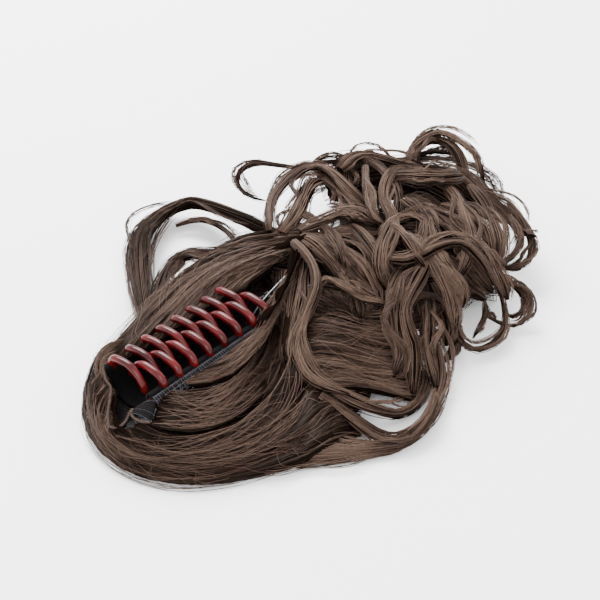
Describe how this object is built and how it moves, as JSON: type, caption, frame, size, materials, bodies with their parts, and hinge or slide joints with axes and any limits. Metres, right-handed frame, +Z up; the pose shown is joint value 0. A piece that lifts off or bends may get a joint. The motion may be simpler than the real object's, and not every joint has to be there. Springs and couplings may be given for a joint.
{
  "type": "claw clip ponytail hairpiece",
  "caption": "Ponytail hairpiece of loose brown curls on a toothed hair claw, lying open with the claw's teeth up.",
  "frame": {"origin": "on the surface it lies on, below the middle of the claw, at the centre of the flat underside of the hair backing", "axes": "+X along the claw from its open near end towards the ends of the hair, +Y to the claw's left side, +Z up, the way the teeth face"},
  "size_m": [0.3001, 0.2381, 0.0464],
  "materials": {
    "claw_plastic": "gloss, translucent red-brown",
    "wire_steel": "plain drawn wire",
    "net_black": "fine open mesh",
    "hem_brown": "sewn edge",
    "hair_brown": "soft sheen"
  },
  "bodies": {
    "root": {"claw_jaw_left": "claw_plastic", "claw_jaw_right": "claw_plastic", "hinge_wire": "wire_steel", "net_base": "net_black", "lip_hem": "hem_brown", "hair": "hair_brown"}
  },
  "joints": []
}
